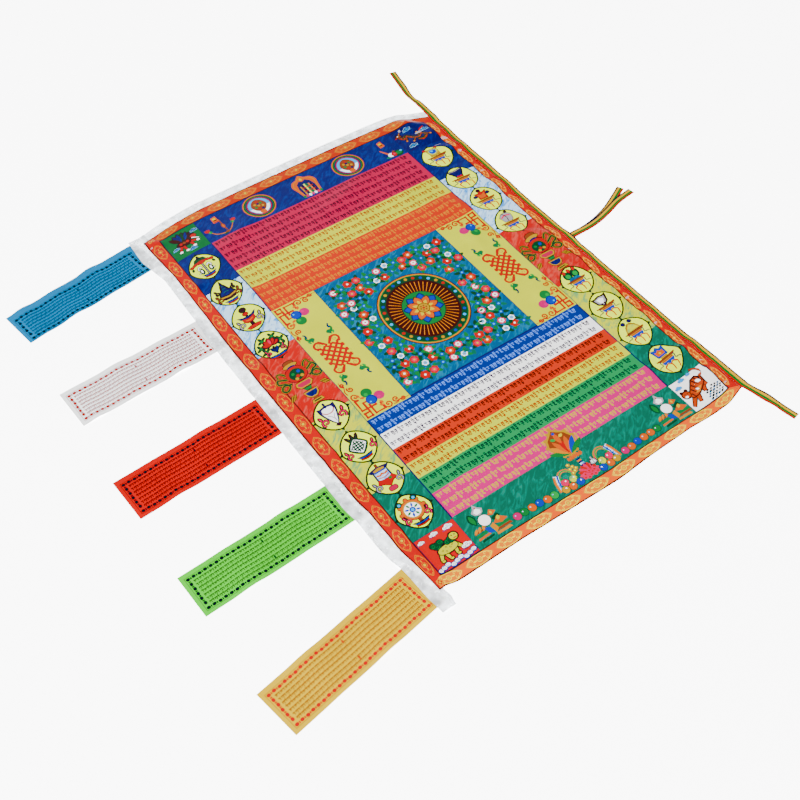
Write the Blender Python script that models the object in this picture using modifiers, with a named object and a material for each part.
"""A printed satin prayer flag laid out flat: panel, white heading bands, five streamers and woven ties.

Metres, +Z up. The flag lies print side up on the plane z = 0, its short side along X and its long side
along Y, with the origin under the middle of the panel. Cloth places are given on the cloth as it was
cut, across (X) and up (Y); laid() takes them to where they lie, because the corners are drawn in.
Every sheet is an open grid, the underside of the cloth, that a Solidify modifier thickens upwards.
"""

import math

import bmesh
import bpy

# Cloth and the small gap that keeps one layer off the next
CLOTH = 0.001
LAY_GAP = 0.0003
STEP = CLOTH + LAY_GAP

# The printed panel as cut
PANEL_LEFT = -0.314
PANEL_RIGHT = 0.3205
PANEL_BOTTOM = -0.450
PANEL_TOP = 0.4535

# White bands: how far they show past the panel, and how far they run under it
SIDE_BAND_SHOWS = 0.021
TOP_BAND_SHOWS = 0.020
BAND_TUCK = 0.010
SIDE_BAND_TAIL = 0.030
TOP_BAND_START = PANEL_LEFT + 0.004

# Woven tape along the hoist edge, and the ties made from it
TAPE_WIDTH = 0.014
TAPE_CENTRE = PANEL_RIGHT - 0.004
TAPE_IN = TAPE_CENTRE - TAPE_WIDTH / 2
TAPE_OUT = TAPE_CENTRE + TAPE_WIDTH / 2
TIE_ROOT_X = PANEL_RIGHT - 0.013
TIE_ROOT_Y = -0.002
TIE_CLEAR = 0.004

# Streamers: how far each is tucked under the side band, and the room left beside it
STREAMER_TUCK = 0.015
STREAMER_CLEAR = 0.003
STREAMER_HEM = 0.006
STREAMER_STEP = 0.016
STREAMER_SHARES = (0, 0.25, 0.5, 0.75, 1)
RAMP = 0.009
MARGIN_CLEAR = 0.005
MARGIN_RAMP = 0.014

# How far the drawn-in edges reach into the cloth
SIDE_FADE = 0.045
SLIP_FADE = 0.100
END_FADE = 0.065

# Grid steps of the panel
COARSE_STEP = 0.026
FINE_STEP = 0.014
ROW_STEP = 0.021
FINE_FROM = 0.225

# Along the left edge: up the cloth, drawn in to the right
LEFT_EDGE = (
    (-0.450, 0.009),
    (-0.405, 0.006),
    (-0.363, 0.001),
    (-0.285, 0.001),
    (-0.255, -0.003),
    (0.000, -0.003),
    (0.153, -0.003),
    (0.227, 0.000),
    (0.340, 0.002),
    (0.404, -0.003),
    (0.4535, -0.004),
)

# Along the hoist edge: up the cloth, out to the right
RIGHT_EDGE = (
    (-0.450, 0.005),
    (-0.350, 0.003),
    (-0.306, 0.000),
    (0.110, -0.0015),
    (0.205, 0.000),
    (0.269, 0.002),
    (0.332, 0.001),
    (0.400, 0.003),
    (0.4535, 0.006),
)

# Beside the left and right edges: up the cloth, slipped along +Y
LEFT_SLIP = ((-0.450, 0.000), (0.000, -0.006), (0.270, -0.012), (0.380, -0.014), (0.4535, -0.016))
RIGHT_SLIP = (
    (-0.450, 0.012),
    (-0.360, 0.010),
    (-0.200, 0.004),
    (0.000, -0.002),
    (0.270, -0.012),
    (0.4535, -0.016),
)

# Along the top and bottom edges: across the cloth, pulled along +Y
TOP_PULL = (
    (-0.314, -0.011),
    (-0.234, -0.0075),
    (-0.190, -0.003),
    (-0.100, -0.0015),
    (0.100, 0.001),
    (0.250, 0.0045),
    (0.267, 0.004),
    (0.283, -0.006),
    (0.3205, -0.015),
)
BOTTOM_PULL = (
    (-0.314, 0.001),
    (-0.294, 0.002),
    (-0.270, -0.002),
    (-0.160, 0.000),
    (0.033, -0.003),
    (0.100, 0.002),
    (0.190, 0.005),
    (0.277, 0.002),
    (0.3205, 0.009),
)

# The side band's outer edge: up the cloth, out to the left
BAND_EDGE = (
    (-0.480, -0.004),
    (-0.450, 0.000),
    (-0.388, -0.002),
    (-0.334, 0.002),
    (0.150, 0.000),
    (0.227, -0.002),
    (0.336, -0.003),
    (0.400, 0.004),
    (0.4735, 0.000),
)

# Main folds: place across and up, turn of the crest in degrees, half length, half width, height
FOLDS = (
    (0.270, 0.425, -38, 0.060, 0.026, 0.0080),
    (0.284, 0.383, 8, 0.055, 0.026, 0.0065),
    (0.286, 0.329, -6, 0.055, 0.022, 0.0065),
    (0.276, 0.262, 14, 0.050, 0.024, 0.0035),
    (0.284, 0.191, -10, 0.060, 0.034, 0.0060),
    (0.262, 0.118, 24, 0.060, 0.026, 0.0040),
    (0.266, 0.040, -35, 0.075, 0.028, 0.0075),
    (0.285, -0.060, 12, 0.055, 0.030, 0.0050),
    (0.282, -0.150, -12, 0.050, 0.028, 0.0045),
    (0.286, -0.228, 5, 0.050, 0.026, 0.0040),
    (0.288, -0.322, -8, 0.050, 0.022, 0.0065),
    (0.278, -0.398, 40, 0.058, 0.024, 0.0060),
    (0.205, 0.178, -52, 0.085, 0.030, 0.0045),
    (0.190, -0.085, -60, 0.080, 0.030, 0.0030),
    (0.060, 0.330, 18, 0.110, 0.034, 0.0035),
    (-0.170, 0.352, 30, 0.090, 0.032, 0.0035),
    (-0.225, 0.205, 80, 0.085, 0.026, 0.0035),
    (-0.215, -0.060, 78, 0.095, 0.026, 0.0030),
    (-0.150, -0.300, 35, 0.085, 0.030, 0.0030),
    (0.060, -0.385, 12, 0.120, 0.028, 0.0035),
    (0.200, -0.330, 32, 0.080, 0.026, 0.0035),
    (-0.300, 0.285, 5, 0.040, 0.018, 0.0030),
    (-0.300, 0.060, -8, 0.040, 0.020, 0.0030),
    (-0.302, -0.160, 6, 0.040, 0.018, 0.0030),
    (-0.296, -0.335, -10, 0.040, 0.018, 0.0030),
    (-0.300, 0.432, -50, 0.034, 0.014, 0.0030),
    (-0.318, -0.471, 70, 0.016, 0.010, 0.0060),
    (-0.306, -0.466, 115, 0.016, 0.008, 0.0045),
)

# Streamers: colour, middle of the root up the side band, width, length that shows, droop in degrees
STREAMERS = (
    ("blue", 0.4013, 0.078, 0.252, 8.4),
    ("white", 0.1680, 0.081, 0.252, 3.0),
    ("red", -0.0385, 0.083, 0.259, 3.2),
    ("green", -0.2416, 0.078, 0.259, 2.6),
    ("yellow", -0.4281, 0.080, 0.267, 9.5),
)

# Waves across the streamers: colour, place along the length, half length, height at upper and lower edge
STREAMER_WAVES = (
    ("blue", 0.085, 0.030, 0.0040, 0.0010),
    ("blue", 0.160, 0.034, 0.0015, 0.0035),
    ("blue", 0.222, 0.024, 0.0030, 0.0010),
    ("white", 0.070, 0.030, 0.0010, 0.0030),
    ("white", 0.150, 0.036, 0.0030, 0.0010),
    ("white", 0.225, 0.022, 0.0005, 0.0025),
    ("red", 0.100, 0.036, 0.0020, 0.0005),
    ("red", 0.190, 0.034, 0.0005, 0.0025),
    ("green", 0.080, 0.032, 0.0025, 0.0010),
    ("green", 0.180, 0.036, 0.0010, 0.0030),
    ("yellow", 0.095, 0.034, 0.0010, 0.0025),
    ("yellow", 0.185, 0.036, 0.0025, 0.0010),
)

# Free ends of the hoist tape past the panel: X, Y, lift of the inner edge, lift of the outer edge
UPPER_END = (
    (0.3245, 0.4700, 0.0022, 0.0018),
    (0.3225, 0.4860, 0.0045, 0.0004),
    (0.3240, 0.5060, 0.0030, 0.0000),
    (0.3315, 0.5370, 0.0000, 0.0018),
    (0.3365, 0.5600, 0.0000, 0.0000),
    (0.3423, 0.5880, 0.0000, 0.0000),
)
LOWER_END = (
    (0.3252, -0.4480, 0.0008, 0.0012),
    (0.3300, -0.4690, 0.0000, 0.0036),
    (0.3345, -0.4890, 0.0012, 0.0006),
    (0.3372, -0.5050, 0.0000, 0.0000),
    (0.3413, -0.5255, 0.0000, 0.0000),
)

# Middle ties from the root out: X, Y, lift of the lower edge, lift of the upper edge
TIE_UNDER = (
    (0.3300, -0.0020, 0.0000, 0.0000),
    (0.3612, -0.0005, 0.0000, 0.0000),
    (0.3920, 0.0050, 0.0000, 0.0000),
    (0.4230, 0.0150, 0.0000, 0.0000),
    (0.4530, 0.0290, 0.0000, 0.0000),
    (0.4830, 0.0440, 0.0000, 0.0000),
)
TIE_OVER = (
    (0.3300, -0.0020, STEP, STEP),
    (0.3612, -0.0025, STEP, STEP),
    (0.3904, 0.0010, STEP, STEP),
    (0.4216, 0.0092, STEP, STEP),
    (0.4537, 0.0190, STEP, STEP),
    (0.4927, 0.0250, STEP, STEP),
)

# Colours of the cloths: red, green, blue and roughness
SATIN = (0.80, 0.22, 0.12, 0.38)
SHEER_WHITE = (0.86, 0.86, 0.84, 0.70)
WOVEN_RED = (0.72, 0.05, 0.05, 0.75)
STREAMER_COLOURS = {
    "blue": (0.10, 0.42, 0.62, 0.70),
    "white": (0.85, 0.84, 0.83, 0.70),
    "red": (0.78, 0.07, 0.04, 0.70),
    "green": (0.28, 0.68, 0.22, 0.70),
    "yellow": (0.90, 0.60, 0.02, 0.70),
}


def clear_scene():
    for thing in list(bpy.data.objects):
        bpy.data.objects.remove(thing, do_unlink=True)


def read_off(table, place, column=1):
    """The value at a place in a table whose first column rises, joined by straight lines."""
    if place <= table[0][0]:
        return table[0][column]
    for low, high in zip(table, table[1:]):
        if place <= high[0]:
            share = (place - low[0]) / (high[0] - low[0])
            return low[column] + share * (high[column] - low[column])
    return table[-1][column]


def fade(distance, reach):
    """1 at an edge, falling softly to 0 at its reach."""
    share = min(max(1 - distance / reach, 0), 1)
    return share * share


def bell(offset, half):
    """A soft bump, 1 in the middle and 0 at its half length."""
    if abs(offset) >= half:
        return 0
    return 0.5 + 0.5 * math.cos(math.pi * offset / half)


def slip(across, up):
    """How far along Y the cloth has slid from where it was cut."""
    from_left = max(across - PANEL_LEFT, 0)
    from_right = max(PANEL_RIGHT - across, 0)
    from_top = max(PANEL_TOP - up, 0)
    from_bottom = max(up - PANEL_BOTTOM, 0)
    return (
        read_off(LEFT_SLIP, up) * fade(from_left, SLIP_FADE)
        + read_off(RIGHT_SLIP, up) * fade(from_right, SLIP_FADE)
        + read_off(TOP_PULL, across) * fade(from_top, END_FADE)
        + read_off(BOTTOM_PULL, across) * fade(from_bottom, END_FADE)
    )


def laid(across, up):
    """Where a place on the cloth as cut comes to lie, as X and Y."""
    from_left = max(across - PANEL_LEFT, 0)
    from_right = max(PANEL_RIGHT - across, 0)
    drawn = read_off(LEFT_EDGE, up) * fade(from_left, SIDE_FADE)
    drawn += read_off(RIGHT_EDGE, up) * fade(from_right, SIDE_FADE)
    return across + drawn, up + slip(across, up)


def cut_from_laid(across, y):
    """How far up the cloth a place lies, from its Y as laid."""
    up = y
    for _ in range(30):
        up = y - slip(across, up)
    return up


def folds(across, up):
    """The lift of the main folds at a place on the cloth."""
    lift = 0
    for middle, height_up, turn, half_length, half_width, height in FOLDS:
        cos_turn = math.cos(math.radians(turn))
        sin_turn = math.sin(math.radians(turn))
        along = (across - middle) * cos_turn + (up - height_up) * sin_turn
        beside = (up - height_up) * cos_turn - (across - middle) * sin_turn
        lift += height * bell(along, half_length) * bell(beside, half_width)
    return lift


def plateau(place, low, high, ramp):
    """1 between two places and 0 a ramp away from them."""
    outside = max(low - place, place - high, 0)
    return min(max(1 - outside / ramp, 0), 1)


def streamer_seats():
    """Where each streamer lies under the side band, as lowest and highest place up the cloth."""
    seats = []
    outer = PANEL_LEFT - SIDE_BAND_SHOWS
    for _, root_y, width, _, droop in STREAMERS:
        spread = width / 2 / math.cos(math.radians(droop))
        rise = STREAMER_TUCK * math.tan(math.radians(droop))
        low = cut_from_laid(outer, root_y - spread) - STREAMER_CLEAR
        high = cut_from_laid(outer, root_y + spread + rise) + STREAMER_CLEAR
        seats.append((low, high))
    return seats


SEATS = streamer_seats()
TOP_SEAT_START = PANEL_TOP - BAND_TUCK - MARGIN_CLEAR
TIE_SEAT = (TIE_ROOT_Y - TAPE_WIDTH / 2 - TIE_CLEAR, TIE_ROOT_Y + TAPE_WIDTH / 2 + TIE_CLEAR)


def side_band_lift(up):
    """The side band rides over each streamer's root and over the end of the top band."""
    shares = [plateau(up, low, high, RAMP) for low, high in SEATS]
    shares.append(plateau(up, SEATS[0][0], PANEL_TOP + TOP_BAND_SHOWS, RAMP))
    return STEP * max(shares)


def panel_lift(across, up):
    """The panel rides over the two bands, and over the roots of the middle ties."""
    over_side = plateau(across, PANEL_LEFT - 1, PANEL_LEFT + BAND_TUCK + MARGIN_CLEAR, MARGIN_RAMP)
    over_top = plateau(up, TOP_SEAT_START, PANEL_TOP + 1, MARGIN_RAMP)
    over_tie = plateau(across, TIE_ROOT_X - MARGIN_CLEAR, PANEL_RIGHT + 1, MARGIN_RAMP)
    over_tie *= plateau(up, *TIE_SEAT, MARGIN_RAMP)
    return max((side_band_lift(up) + STEP) * over_side, STEP * over_top, 2 * STEP * over_tie)


def stations(fixed, low, high, step):
    """Grid lines through the fixed places, with the wide spaces between them split evenly."""
    marks = sorted({round(mark, 5) for mark in fixed if low < mark < high} | {low, high})
    lines = [marks[0]]
    for start, end in zip(marks, marks[1:]):
        pieces = max(1, round((end - start) / step))
        lines += [start + (end - start) * k / pieces for k in range(1, pieces + 1)]
    return lines


def panel_columns():
    inner = PANEL_LEFT + BAND_TUCK
    fixed = [TOP_BAND_START, inner, inner + MARGIN_CLEAR, inner + MARGIN_CLEAR + MARGIN_RAMP]
    left = stations(fixed, PANEL_LEFT, FINE_FROM, COARSE_STEP)
    fixed = [TIE_ROOT_X - MARGIN_CLEAR - MARGIN_RAMP, TIE_ROOT_X - MARGIN_CLEAR, TAPE_IN, TAPE_CENTRE]
    return left + stations(fixed, FINE_FROM, PANEL_RIGHT, FINE_STEP)[1:]


def edge_rows(low, high):
    """Grid lines up the cloth, with one at each place where a lift starts or ends."""
    fixed = [PANEL_BOTTOM, PANEL_TOP, PANEL_TOP - BAND_TUCK, TOP_SEAT_START, TOP_SEAT_START - MARGIN_RAMP]
    fixed += [TIE_SEAT[0] - MARGIN_RAMP, TIE_SEAT[0], TIE_SEAT[1], TIE_SEAT[1] + MARGIN_RAMP]
    for seat_low, seat_high in SEATS:
        fixed += [seat_low - RAMP, seat_low, seat_high, seat_high + RAMP]
    return stations(fixed, low, high, ROW_STEP)


def cloth_material(name, colour):
    material = bpy.data.materials.new(name)
    material.use_nodes = True
    shader = material.node_tree.nodes["Principled BSDF"]
    shader.inputs["Base Color"].default_value = (*colour[:3], 1)
    shader.inputs["Roughness"].default_value = colour[3]
    shader.inputs["Metallic"].default_value = 0
    return material


def make_sheet(name, rows, material, collection):
    """A sheet of cloth whose underside passes through rows of points, all rows of one length."""
    mesh = bpy.data.meshes.new(name)
    grid = bmesh.new()
    last_row = len(rows) - 1
    last_column = len(rows[0]) - 1
    bmesh.ops.create_grid(grid, x_segments=last_column, y_segments=last_row, size=1)
    for vertex in grid.verts:
        column = round((vertex.co.x + 1) / 2 * last_column)
        row = round((vertex.co.y + 1) / 2 * last_row)
        vertex.co = rows[row][column]
    grid.to_mesh(mesh)
    grid.free()
    sheet = bpy.data.objects.new(name, mesh)
    mesh.materials.append(material)
    mesh.shade_smooth()
    thicken = sheet.modifiers.new("cloth thickness", "SOLIDIFY")
    thicken.thickness = CLOTH
    thicken.offset = 1
    collection.objects.link(sheet)
    return sheet


def make_panel(collection):
    rows = []
    for up in edge_rows(PANEL_BOTTOM, PANEL_TOP):
        row = []
        for across in panel_columns():
            row.append((*laid(across, up), folds(across, up) + panel_lift(across, up)))
        rows.append(row)
    make_sheet("printed_panel", rows, cloth_material("printed satin", SATIN), collection)


def make_side_band(white, collection):
    inner = PANEL_LEFT + BAND_TUCK
    middle = PANEL_LEFT - SIDE_BAND_SHOWS / 2
    rows = []
    for up in edge_rows(PANEL_BOTTOM - SIDE_BAND_TAIL, PANEL_TOP + TOP_BAND_SHOWS):
        outer = PANEL_LEFT - SIDE_BAND_SHOWS - read_off(BAND_EDGE, up)
        row = []
        for across in (outer, middle, PANEL_LEFT, TOP_BAND_START, inner):
            row.append((*laid(across, up), folds(across, up) + side_band_lift(up)))
        rows.append(row)
    make_sheet("side_band", rows, white, collection)


def make_top_band(white, collection):
    columns = [across for across in panel_columns() if across >= TOP_BAND_START - LAY_GAP]
    rows = []
    for up in (PANEL_TOP - BAND_TUCK, PANEL_TOP, PANEL_TOP + TOP_BAND_SHOWS / 2, PANEL_TOP + TOP_BAND_SHOWS):
        rows.append([(*laid(across, up), folds(across, up)) for across in columns])
    make_sheet("top_band", rows, white, collection)


def streamer_lift(colour, along, share):
    """The lift of a streamer's waves: share is 0 at its lower edge and 1 at its upper one."""
    lift = 0
    for wave_colour, middle, half, upper, lower in STREAMER_WAVES:
        if wave_colour == colour:
            lift += (lower + share * (upper - lower)) * bell(along - middle, half)
    return lift


def make_streamer(row_of_table, collection):
    colour, root_y, width, length, droop = row_of_table
    turn = math.radians(droop)
    root_x = laid(PANEL_LEFT, cut_from_laid(PANEL_LEFT, root_y))[0] - SIDE_BAND_SHOWS
    places = stations([0, length - STREAMER_HEM], -STREAMER_TUCK, length, STREAMER_STEP)
    rows = []
    for share in STREAMER_SHARES:
        beside = (share - 0.5) * width
        row = []
        for along in reversed(places):
            x = root_x - along * math.cos(turn) - beside * math.sin(turn)
            y = root_y - along * math.sin(turn) + beside * math.cos(turn)
            row.append((x, y, streamer_lift(colour, along, share)))
        rows.append(row)
    make_sheet(
        f"streamer_{colour}",
        rows,
        cloth_material(f"{colour} streamer cloth", STREAMER_COLOURS[colour]),
        collection,
    )


def smooth_route(points, splits):
    """More places along a route, on a smooth curve through its points."""
    padded = [points[0], *points, points[-1]]
    route = []
    for before, start, end, after in zip(padded, padded[1:], padded[2:], padded[3:]):
        for k in range(splits):
            t = k / splits
            place = []
            for b, s, e, a in zip(before, start, end, after):
                cubic = 2 * s + (e - b) * t
                cubic += (2 * b - 5 * s + 4 * e - a) * t**2 + (3 * s - b - 3 * e + a) * t**3
                place.append(cubic / 2)
            route.append(tuple(place))
    return route + [points[-1]]


def strip_rows(route, sides):
    """Rows across a flat strip: the lifts are at its right and left edge, seen along the route."""
    rows = []
    for index, (x, y, right_lift, left_lift) in enumerate(route):
        back = route[max(index - 1, 0)]
        ahead = route[min(index + 1, len(route) - 1)]
        run = math.hypot(ahead[0] - back[0], ahead[1] - back[1])
        right_x = (ahead[1] - back[1]) / run
        right_y = -(ahead[0] - back[0]) / run
        row = []
        for side in sides:
            share = 0.5 + side / TAPE_WIDTH
            lift = left_lift + (right_lift - left_lift) * share
            row.append((x + side * right_x, y + side * right_y, max(lift, 0)))
        rows.append(row)
    return rows


def make_hoist_tape(woven, collection):
    """Sewn on the panel's hoist edge, and running past both corners as free ties."""
    columns = (TAPE_IN, TAPE_CENTRE, PANEL_RIGHT, TAPE_OUT)
    sides = [across - TAPE_CENTRE for across in columns]
    sewn = []
    for up in edge_rows(PANEL_BOTTOM, PANEL_TOP):
        row = []
        for across in columns:
            lift = folds(across, up) + panel_lift(min(across, PANEL_RIGHT), up) + STEP
            row.append((*laid(across, up), lift))
        sewn.append(row)
    middle = columns.index(TAPE_CENTRE)
    first = sewn[0]
    last = sewn[-1]
    lower_start = (first[middle][0], first[middle][1], first[0][2], first[-1][2])
    upper_start = (last[middle][0], last[middle][1], last[0][2], last[-1][2])
    lower = [(x, y, inner, outer) for x, y, inner, outer in (lower_start, *LOWER_END)]
    upper = [(x, y, outer, inner) for x, y, inner, outer in (upper_start, *UPPER_END)]
    lower_rows = strip_rows(smooth_route(lower, 3), [-side for side in sides])
    upper_rows = strip_rows(smooth_route(upper, 3), sides)
    make_sheet("hoist_tape", lower_rows[:0:-1] + sewn + upper_rows[1:], woven, collection)


def make_middle_tie(name, points, woven, collection):
    root = (TIE_ROOT_X, TIE_ROOT_Y, points[0][2], points[0][3])
    sides = (TAPE_WIDTH / 2, 0, -TAPE_WIDTH / 2)
    rows = strip_rows(smooth_route([root, *points], 2), sides)
    rows = [list(column) for column in zip(*rows)]
    make_sheet(name, rows, woven, collection)


def build_flag():
    clear_scene()
    collection = bpy.data.collections.new("prayer flag")
    bpy.context.scene.collection.children.link(collection)
    white = cloth_material("sheer white cloth", SHEER_WHITE)
    woven = cloth_material("woven tape", WOVEN_RED)
    make_panel(collection)
    make_side_band(white, collection)
    make_top_band(white, collection)
    for streamer in STREAMERS:
        make_streamer(streamer, collection)
    make_hoist_tape(woven, collection)
    make_middle_tie("middle_tie_under", TIE_UNDER, woven, collection)
    make_middle_tie("middle_tie_over", TIE_OVER, woven, collection)


build_flag()
